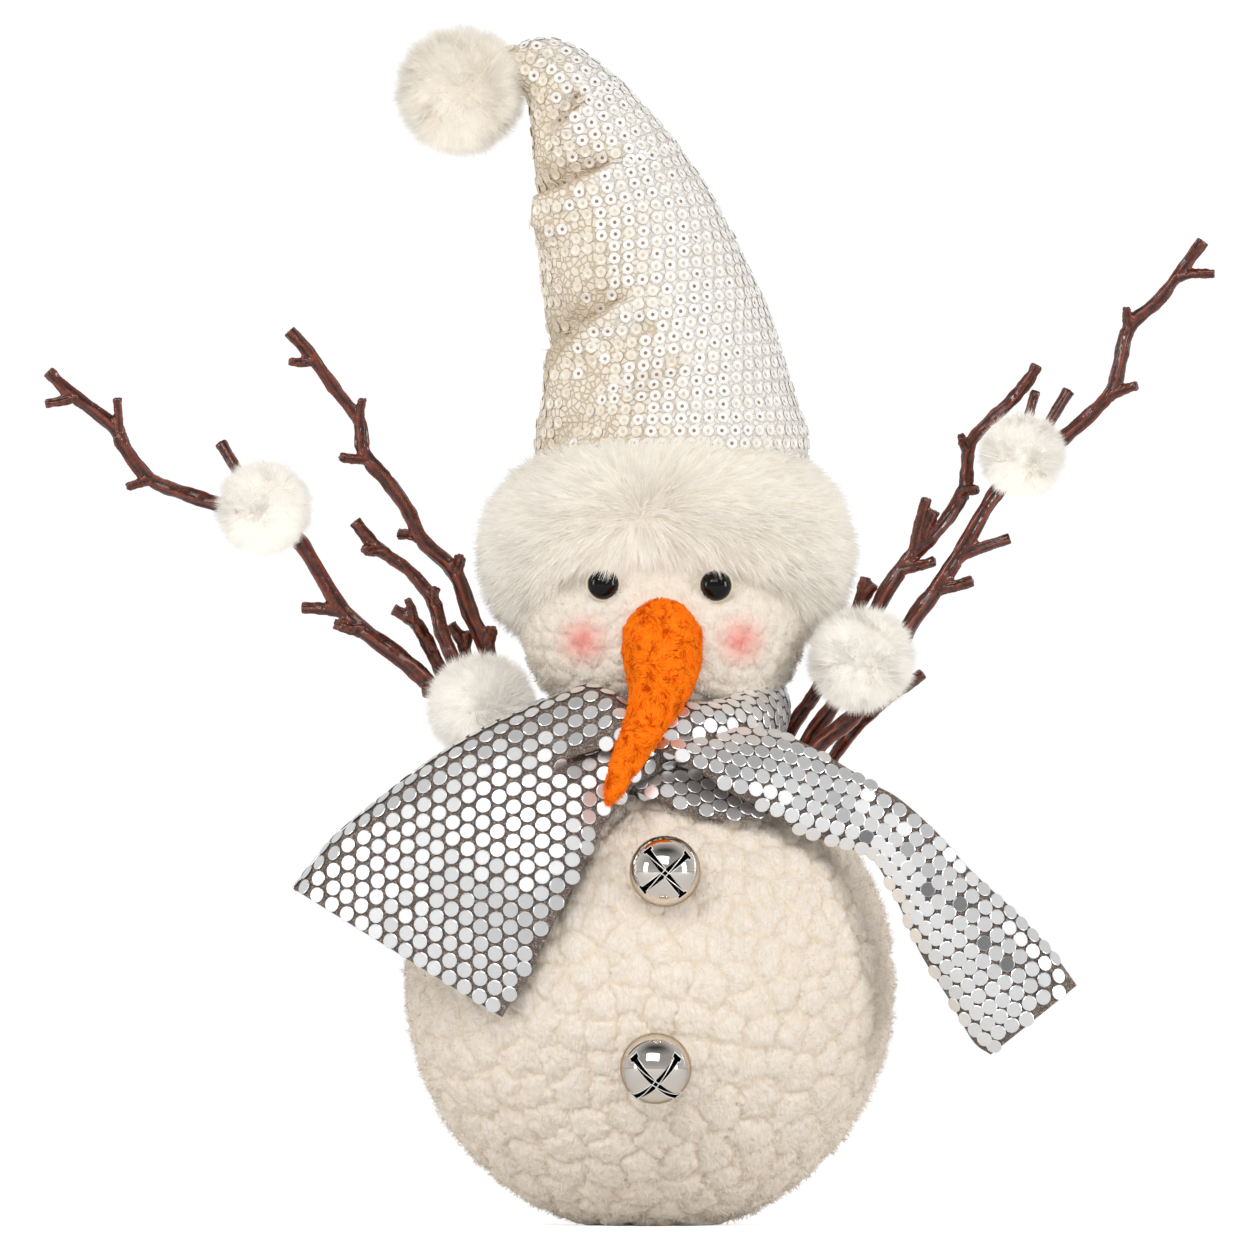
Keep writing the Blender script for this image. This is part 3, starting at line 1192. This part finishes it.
def pinSequins(surface, pitch, slant, spread=None):
    # spots of a staggered pattern laid on the unrolled cloth and turned by slant, or on the cloth spread flat
    s, t = np.meshgrid(np.linspace(0, 1, 401), np.linspace(0, 1, 161), indexing='ij')
    grid = surface(s.ravel(), t.ravel()).reshape(401, 161, 3)
    ways = unit(np.cross(np.gradient(grid, axis=0).reshape(-1, 3), np.gradient(grid, axis=1).reshape(-1, 3)))
    spots = grid.reshape(-1, 3)
    if (ways * (spots - [0, 15 * mm, 0]))[:, :2].sum() < 0:
        ways = -ways
    if spread:
        flat = spread(s.ravel(), t.ravel())[:, [0, 2]]
    else:
        rise = np.linalg.norm(np.diff(grid, axis=1), axis=2).cumsum(axis=1)
        rise = np.concatenate([np.zeros((401, 1)), rise], axis=1)
        rise -= rise[:, 80:81]
        run = np.concatenate([[0], np.linalg.norm(np.diff(grid[:, 80], axis=0), axis=1).cumsum()])
        flat = np.stack([np.repeat(run, 161), rise.ravel()], axis=1)
    turned = math.radians(slant)
    flat = flat @ np.array([[math.cos(turned), -math.sin(turned)], [math.sin(turned), math.cos(turned)]])
    border = np.ones((401, 161), dtype=bool)
    border[1:-1, 1:-1] = False
    trees = []
    for chosen in (np.arange(len(flat)), np.flatnonzero(border.ravel())):
        tree = kdtree.KDTree(len(chosen))
        for i in chosen:
            tree.insert((*flat[i], 0), int(i))
        tree.balance()
        trees.append(tree)
    low, high = flat.min(axis=0) - pitch, flat.max(axis=0)
    step = pitch * math.cos(math.radians(30))
    if spread:
        # the rows run along the hem, the last one just inside it
        inward = np.array([0.5, math.cos(math.radians(30))])
        hem = flat.reshape(401, 161, 2)[-1, 60]
        low = low + inward * (((hem - low) @ inward + 2.2 * mm) % step)
    found = []
    for column in range(-2, int((high[0] - low[0]) / step) + 2):
        x = low[0] + column * step
        for z in np.arange(low[1] - pitch * (2 - 0.5 * (column % 2)), high[1], pitch):
            i, gap = trees[0].find((x, z, 0))[1:]
            if gap < 0.9 * mm and trees[1].find((x, z, 0))[2] > scarf['edge']:
                found.append(i)
    # then sequins along the borders, where the pattern leaves them bare
    kept = flat[found]
    for i in range(0, len(flat), 2):
        if not 1.6 * mm < trees[1].find((*flat[i], 0))[2] < 2.1 * mm:
            continue
        if ((kept - flat[i]) ** 2).sum(axis=1).min() > (0.80 * pitch) ** 2:
            kept = np.vstack([kept, flat[i]])
            found.append(i)
    return spots[found], ways[found]


def makeScarfLooks():
    net, nodes, links, shader = newLook('taupeNet', (0.25, 0.19, 0.16), 0.7, Specular_IOR_Level=0.25)
    height = addFibres(nodes, links, 900, 0.5)[0]
    links.new(addMix(nodes, links, height, (0.10, 0.072, 0.058), (0.46, 0.38, 0.33)),
              shader.inputs['Base Color'])
    addBump(nodes, links, shader, height, 0.6, 0.5 * mm)
    silver, nodes, links, shader = newLook('silverSequin', (0.88, 0.88, 0.885), 0.31, Metallic=0.8)
    tone = addRamp(nodes, links, addReading(nodes, 'tone'),
                   [(0.0, (0.52, 0.52, 0.53)), (1.0, (1.0, 1.0, 1.0))])
    rim = addRamp(nodes, links, addReading(nodes, 'outward'), [(0.86, 0.0), (0.93, 0.8)])
    colour = addMix(nodes, links, addReading(nodes, 'tarnish'), tone, (0.03, 0.035, 0.04))
    colour = addMix(nodes, links, addMath(nodes, links, 'MULTIPLY', rim, 0.7), colour, (1.0, 1.0, 1.0))
    links.new(colour, shader.inputs['Base Color'])
    return net, silver


def makeScarf():
    # each part of the strip: its surface, points across and along, and how its sequins are laid
    tight, loose = scarf['tightPitch'], scarf['pitch']
    turns = {
        'neckOverTurn': (lambda s, t: neckRing('neckTurn', s, t), 40, 200, (tight, 0)),
        'neckUnderTurn': (lambda s, t: neckRing('neckUnder', s, t), 30, 160, (tight, 0)),
        'underLayer': (underTurn, 20, 60, (tight, 0)),
        'leftTailCloth': (leftTail, 140, 150, (loose, -1.4, lambda s, t: leftTail(s, t, True))),
        'rightTailCloth': (rightTail, 60, 150, (tight, -20.7)),
    }
    net, silver = makeScarfLooks()
    made, spots, ways = [], [], []
    for name, (surface, across, along, laid) in turns.items():
        clearSelection()
        bpy.ops.mesh.primitive_grid_add(x_subdivisions=along, y_subdivisions=across, size=2)
        sheet = bpy.context.object
        rows = points(sheet)
        setPoints(sheet, surface((rows[:, 0] + 1) / 2, (rows[:, 1] + 1) / 2))
        sheet.name = name
        made.append(sheet)
        found, way = pinSequins(surface, *laid)
        spots.append(found)
        ways.append(way)
    clearSelection()
    for sheet in made:
        sheet.select_set(True)
    bpy.context.view_layer.objects.active = made[0]
    bpy.ops.object.join()
    cloth = bpy.context.object
    bpy.ops.object.mode_set(mode='EDIT')
    bpy.ops.mesh.select_all(action='SELECT')
    bpy.ops.mesh.remove_doubles(threshold=0.02 * mm)
    bpy.ops.mesh.normals_make_consistent(inside=False)
    bpy.ops.object.mode_set(mode='OBJECT')
    settle(cloth, 'scarfCloth', net)
    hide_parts('scarf')
    shape = sequinShape(scarf['sequin'] / 2, [(0.89, 0.06)])
    spots, ways = np.concatenate(spots), np.concatenate(ways)
    # no sequins where another turn of the cloth lies on top
    cover = bvhtree.BVHTree.FromObject(cloth, bpy.context.evaluated_depsgraph_get())
    free = [cover.ray_cast(spot + way * 0.9 * mm, way, 4.5 * mm)[0] is None for spot, way in zip(spots, ways)]
    spots, ways = spots[free], ways[free]
    rng = np.random.default_rng(82)
    tones = 0.80 + 0.20 * rng.random(len(spots))
    for x, z, wide, much in scarf['dulled']:
        gap = np.hypot(spots[:, 0] - x * mm, spots[:, 2] - z * mm) / (wide * mm)
        tones -= much * np.exp(-gap ** 2)
    tarnish = np.zeros(len(spots))
    for x, z, share in scarf['tarnished']:
        gap = np.hypot(spots[:, 0] - x * mm, spots[:, 2] - z * mm) + np.where(spots[:, 1] > -35 * mm, 1, 0)
        tarnish[gap.argmin()] = share
    sequins = sewSequins('scarfSequins', shape, spots, ways, 0.45 * mm, 0.025, 81, silver,
                         tones)
    store(sequins, 'tarnish', np.repeat(tarnish, len(shape[0])))
    print('scarf made,', len(spots), 'sequins')


makeScarf()


slot = {
    'half': 1.05 * mm,           # half the slot's width
    'endHalf': 1.7 * mm,
    'endThick': 1.1 * mm,
    'lip': 0.17 * mm,            # radius of the turned lip along its edges
}


def slotCutter(roll, reach):      # reach is from the crossing to the cross-cut at each end
    # a narrow slot with a short cross-cut at each end
    clearSelection()
    bpy.ops.mesh.primitive_cube_add(size=1, location=(0, -8.2 * mm, 0))
    cutter = bpy.context.object
    cutter.scale = (2 * reach, 14 * mm, 2 * slot['half'])
    bpy.ops.object.transform_apply(location=True, rotation=False, scale=True)
    for side in (-1, 1):
        clearSelection()
        bpy.ops.mesh.primitive_cube_add(size=1, location=(side * reach, -8.2 * mm, 0))
        bar = bpy.context.object
        bar.scale = (slot['endThick'], 14 * mm, 2 * slot['endHalf'])
        bpy.ops.object.transform_apply(location=True, rotation=False, scale=True)
        join = cutter.modifiers.new('bar', 'BOOLEAN')
        join.operation = 'UNION'
        join.object = bar
        applyModifiers(cutter)
        bpy.data.objects.remove(bar)
    pick(cutter)
    cutter.rotation_euler = (0, math.radians(roll), 0)
    bpy.ops.object.transform_apply(location=True, rotation=True, scale=True)
    return cutter


def slotLip(roll, reach, look):
    # the turned-out lip that runs round the four arms of the crossed slots
    near, far = reach - slot['endThick'] / 2, reach + slot['endThick'] / 2
    half, wide = slot['half'], slot['endHalf']
    arm = np.array([(half, -half), (near, -half), (near, -wide), (far, -wide), (far, wide), (near, wide),
                    (near, half)])
    corners = []
    for quarter in range(4):
        turn = math.radians(45 + 90 * quarter + roll)
        spin = np.array([[math.cos(turn), -math.sin(turn)], [math.sin(turn), math.cos(turn)]])
        corners.append(arm @ spin)
    corners = np.concatenate(corners + [corners[0][:1]])[::-1]
    run = np.concatenate([[0], np.linalg.norm(np.diff(corners, axis=0), axis=1).cumsum()])
    at = np.union1d(np.arange(0, run[-1], 0.7 * mm), run)
    x, z = np.interp(at, run, corners[:, 0]), np.interp(at, run, corners[:, 1])
    y = -np.sqrt(np.maximum(bellRadius ** 2 - x ** 2 - z ** 2, 0))
    lip = routeTube(np.stack([x, y, z], axis=1), np.full(len(x), slot['lip']), 2)
    lip.data.materials.append(look)
    return lip


def makeBells():
    chrome, nodes, links, shader = newLook('polishedNickel', (0.82, 0.76, 0.70), 0.05, Metallic=1.0)
    shader.inputs['Specular Tint'].default_value = (0.50, 0.44, 0.34, 1)
    mask = addFibres(nodes, links, 120, 0.5)[1]
    links.new(addRamp(nodes, links, mask, [(0.3, 0.02), (0.7, 0.05)]), shader.inputs['Roughness'])
    inside, nodes, links, shader = newLook('darkInside', (0.006, 0.005, 0.005), 0.6, Specular_IOR_Level=0.0)
    mask = addFibres(nodes, links, 300, 0.5)[1]
    links.new(addMix(nodes, links, mask, (0.006, 0.005, 0.005), (0.02, 0.016, 0.014)),
              shader.inputs['Base Color'])
    burnished, nodes, links, shader = newLook('burnishedLip', (0.98, 0.96, 0.93), 0.35, Metallic=0.5)
    mask = addFibres(nodes, links, 300, 0.5)[1]
    links.new(addMix(nodes, links, mask, (1.0, 0.98, 0.95), (0.88, 0.85, 0.80)), shader.inputs['Base Color'])
    for level, bell in bells.items():
        clearSelection()
        bpy.ops.mesh.primitive_uv_sphere_add(segments=96, ring_count=64, radius=bellRadius)
        shell = bpy.context.object
        shell.rotation_euler = (math.radians(90), 0, 0)
        bpy.ops.object.transform_apply(location=False, rotation=True, scale=False)
        bpy.ops.object.shade_smooth()
        shell.data.materials.append(chrome)
        shell.data.materials.append(inside)
        wall = shell.modifiers.new('wall', 'SOLIDIFY')
        wall.thickness = 0.5 * mm
        wall.offset = -1
        wall.material_offset = 1
        for slant in (45, -45):
            cutter = slotCutter(slant + bell['roll'], bell['reach'])
            cut = shell.modifiers.new('slot', 'BOOLEAN')
            cut.object = cutter
            cut.solver = 'EXACT'
            applyModifiers(shell)
            bpy.data.objects.remove(cutter)
        lip = slotLip(bell['roll'], bell['reach'], burnished)
        clearSelection()
        lip.select_set(True)
        shell.select_set(True)
        bpy.context.view_layer.objects.active = shell
        bpy.ops.object.join()
        shell.rotation_euler = (math.radians(bell['tilt']), 0, 0)
        shell.location = bell['middle']
        inner = np.empty(len(shell.data.polygons), dtype=np.int32)
        shell.data.polygons.foreach_get('material_index', inner)
        settle(shell, 'bellShell_' + level, chrome, 35)
        shell.data.materials.append(inside)
        shell.data.materials.append(burnished)
        shell.data.polygons.foreach_set('material_index', inner)
        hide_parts('bell_' + level)
        pea = bpy.data.objects['bell_pea_' + level]
        pea.data.materials.clear()
        pea.data.materials.append(inside)
    print('bells made')


makeBells()

twigs = {
    'twig_left_1': {
        'route': [(-46, -13, 131), (-52, -12, 146), (-61, -10, 163), (-72.3, -8, 179), (-83.3, -6, 189),
                  (-96, -5, 198.5), (-104.5, -4, 207.8), (-117.3, -2, 228.3), (-129, 0, 236.5),
                  (-144.5, 0, 240.3), (-155.7, -1, 244), (-166.7, -2, 248.7), (-175.2, -3, 259),
                  (-179.3, -3, 266.7), (-194, -4, 278), (-200.7, -5, 284.5)],
        'radii': (3.1, 2.0),
        'sides': [((-193, -4, 277), (-201.5, -6, 273.5)), ((-178, -3, 264), (-177.5, -6, 275.7)),
                  ((-165, -2, 248), (-174.3, -5, 246)), ((-129, 0, 237), (-143.3, 7, 261)),
                  ((-101, -4, 205), (-116.2, -2, 205.7)), ((-95, -5, 198), (-104.7, -9, 200.3)),
                  ((-70, -9, 175), (-76, -11, 177.5))],
    },
    'twig_left_2': {
        'route': [(-44, 2, 131), (-47, 2, 150), (-50, 1, 173), (-54, 0, 191), (-60, 0, 203.7),
                  (-65.3, 0, 218), (-75.5, -1, 227.8), (-81, -2, 238.5), (-88, -2, 248.5),
                  (-95.5, -2, 257.3), (-97, -2, 268),
                  (-104.5, -3, 278), (-113.6, -4, 290.4), (-120.3, -5, 298)],
        'radii': (2.9, 1.9),
        'sides': [((-112.5, -4, 289), (-120.3, -6, 287.7)), ((-97, -2, 268), (-95.8, -6, 275.3)),
                  ((-94, -2, 256.5), (-103.3, -6, 256)), ((-75.5, -1, 229), (-84, 3, 230.3)),
                  ((-65.5, 0, 216), (-63.3, -4, 222.7)), ((-54.5, 0, 192), (-52.7, -3, 199))],
    },
    'twig_left_3': {
        'route': [(-44, -5, 132), (-48, -5, 150), (-57, -6, 173), (-65.3, -6, 188.3), (-69.7, -5, 198.3),
                  (-72.5, -4, 208.5), (-80, -4, 217.8), (-87.5, -5, 223), (-93, -5, 228), (-98.5, -6, 234.5)],
        'radii': (2.5, 1.9),
        'sides': [((-89, -5, 225), (-95.8, -8, 225.6)), ((-72.3, -4, 207), (-71.2, -7, 212.3))],
    },
    'twig_left_4': {
        'route': [(-50, 9, 129), (-54, 9, 145), (-62, 6, 168), (-70.5, 2, 186.5), (-75.5, 0, 196.3),
                  (-79, -2, 201.5), (-85.7, -3, 205.3)],
        'radii': (2.4, 2.0),
        'sides': [((-78, -2, 200.5), (-81, -5, 208.7))],
    },
    'twig_left_5': {
        'route': [(-47, 15, 130), (-50, 14, 146), (-57, 10, 175), (-61.3, 7, 190.3), (-63, 6, 195),
                  (-66.7, 5, 200.3)],
        'radii': (2.2, 1.8),
        'sides': [((-62, 6, 192.5), (-60.3, 5, 198))],
    },
    'twig_right_1': {
        'route': [(47, -8, 133), (49, -8, 146), (55.5, -7, 159.3), (68.6, -6, 170.4), (79, -5, 187),
                  (87.8, -5, 202), (95.5, -4, 212), (104.9, -2, 226.7), (115, -1, 243.5),
                  (125, 0, 254), (138, 0, 262.5),
                  (148, -1, 271.2), (154, -2, 278.5), (156.5, -3, 287), (160, -3, 299.7), (169.5, -4, 308.3),
                  (177, -4, 318), (184.3, -5, 328)],
        'radii': (3.0, 1.9),
        'sides': [((159.7, -3, 299), (158.7, -6, 305.7)), ((175.5, -4, 316), (188, -7, 316.9)),
                  ((153, -2, 277), (162.3, -5, 279.8)), ((126, 0, 255), (139.8, 6, 278.3)),
                  ((102, -3, 221), (120, -2, 228.8)), ((95, -4, 210.5), (107.5, -7, 214.8)),
                  ((121, 0, 251), (128.5, 7, 278))],
    },
    'twig_right_2': {
        'route': [(44, 2, 133), (47, 2, 147), (53.3, 2, 162.7), (61.5, 1, 174), (71, 1, 194), (77.5, 1, 209),
                  (86, 2, 221.5), (93, 2, 228.5), (100, 3, 236.5), (104.7, 3, 245), (105.6, 4, 252),
                  (107, 4, 260.8), (113, 3, 268), (120, 3, 274.3), (125.7, 2, 281), (129, 2, 286.8)],
        'radii': (2.8, 1.8),
        'sides': [((106.3, 4, 257.5), (103.7, 0, 263)), ((103.7, 3, 243.3), (109.3, -1, 245)),
                  ((88, 2, 224), (92.3, -2, 242.3)), ((91, 2, 227), (95, -1, 238)),
                  ((84, 2, 218.5), (95, -2, 221.3))],
    },
    'twig_right_3': {
        'route': [(40, 10, 135), (42, 10, 150), (46.5, 9, 164.4), (55.6, 7, 178), (65, 6, 195), (70, 5, 207),
                  (71.8, 4, 216)],
        'radii': (2.6, 1.9),
        'sides': [((70, 5, 206), (74.8, 3, 213.5))],
    },
    'twig_right_4': {
        'route': [(52, 9, 130), (56, 9, 146), (64, 7, 160), (77, 4, 173.5), (91, 0, 184)],
        'radii': (2.3, 1.8),
        'sides': [],
    },
}


def makeBarkLook():
    look, nodes, links, shader = newLook('glossyBark', (0.10, 0.022, 0.009), 0.36, Coat_Weight=0.9, Coat_Roughness=0.07,
                                         Specular_IOR_Level=0.25)
    height, mask = addFibres(nodes, links, 420, 1.0)
    colour = addRamp(nodes, links, addReading(nodes, 'ridge'),
                     [(0.15, (0.016, 0.003, 0.001)), (0.50, (0.105, 0.015, 0.004)),
                      (0.85, (0.25, 0.045, 0.012))])
    colour = addMix(nodes, links, addMath(nodes, links, 'MULTIPLY', mask, 0.30), colour,
                    (0.070, 0.013, 0.006))
    links.new(colour, shader.inputs['Base Color'])
    addBump(nodes, links, shader, height, 0.22, 0.5 * mm)
    return look


def barkHeight(places, runs):
    # grooves along each stem with a slight ring every so often, and the way out from its middle line
    best = np.full(len(places), 1e9)
    groove = np.zeros(len(places))
    outward = np.zeros_like(places)
    for number, (rows, _) in enumerate(runs):
        for k in range(len(rows) - 1):
            run = rows[k + 1] - rows[k]
            share = np.clip(((places - rows[k]) @ run) / (run @ run), 0, 1)
            off = places - (rows[k] + share[:, None] * run)
            far = np.linalg.norm(off, axis=1)
            closer = far < best
            best[closer] = far[closer]
            side = np.cross(run, [0.3, 1, 0.2])
            side /= np.linalg.norm(side)
            other = np.cross(run / np.linalg.norm(run), side)
            turn = np.arctan2(off @ other, off @ side)
            along = k + share
            lines = (0.55 * np.sin(turn * 4 + 0.35 * along + number)
                     + 0.45 * np.sin(turn * 7 - 0.22 * along + 2 * number)
                     + 0.35 * np.sin(along * 2.1 + 3 * number) * np.sin(turn * 2 + along))
            groove[closer] = lines[closer]
            outward[closer] = (off / np.maximum(far[:, None], 1e-6))[closer]
    return groove, outward


def makeTwig(node, settings, look, seed):
    foot, tip = settings['radii']
    rows = throughPoints(settings['route'], 4 * len(settings['route']))
    radii = np.linspace(foot, tip, len(rows)) + 0.28
    radii += 0.16 * np.sin(np.arange(len(rows)) * 1.7 + seed)
    rng = np.random.default_rng(seed)
    runs = [(rows, radii)]
    for root, end in settings['sides']:
        nearest = np.argmin(np.linalg.norm(rows - np.array(root), axis=1))
        thick = radii[nearest] * 0.80
        bent = (rows[nearest] + np.array(end)) / 2 + rng.normal(0, 0.4, 3)
        sideRadii = np.linspace(thick, thick * 0.85, 8)
        sideRadii[-1] *= 1.08
        runs.append((throughPoints([rows[nearest], bent, end], 8), sideRadii))
    tubes = [routeTube(row * mm, thick * mm, 3) for row, thick in runs]
    clearSelection()
    for tube in tubes:
        tube.select_set(True)
    tube = tubes[0]
    bpy.context.view_layer.objects.active = tube
    bpy.ops.object.join()
    evenSkin(tube, 0.55 * mm, 2)
    places = points(tube) / mm
    groove, outward = barkHeight(places, runs)
    fine = swirlField(places, 2.2, seed)[:, 0]
    knots = np.maximum(0, swirlField(places, 7.0, seed + 7)[:, 1] - 0.55)
    setPoints(tube, (places + outward * (groove * 0.40 + fine * 0.07 + knots * 0.5 - 0.15)[:, None]) * mm)
    store(tube, 'ridge', np.clip(0.5 + groove * 0.42 + fine * 0.2, 0, 1))
    settle(tube, node.replace('twig_', 'twigBark_'), look)
    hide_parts(node)


barkLook = makeBarkLook()
for number, (node, settings) in enumerate(twigs.items()):
    makeTwig(node, settings, barkLook, 90 + number)
print('twigs made')
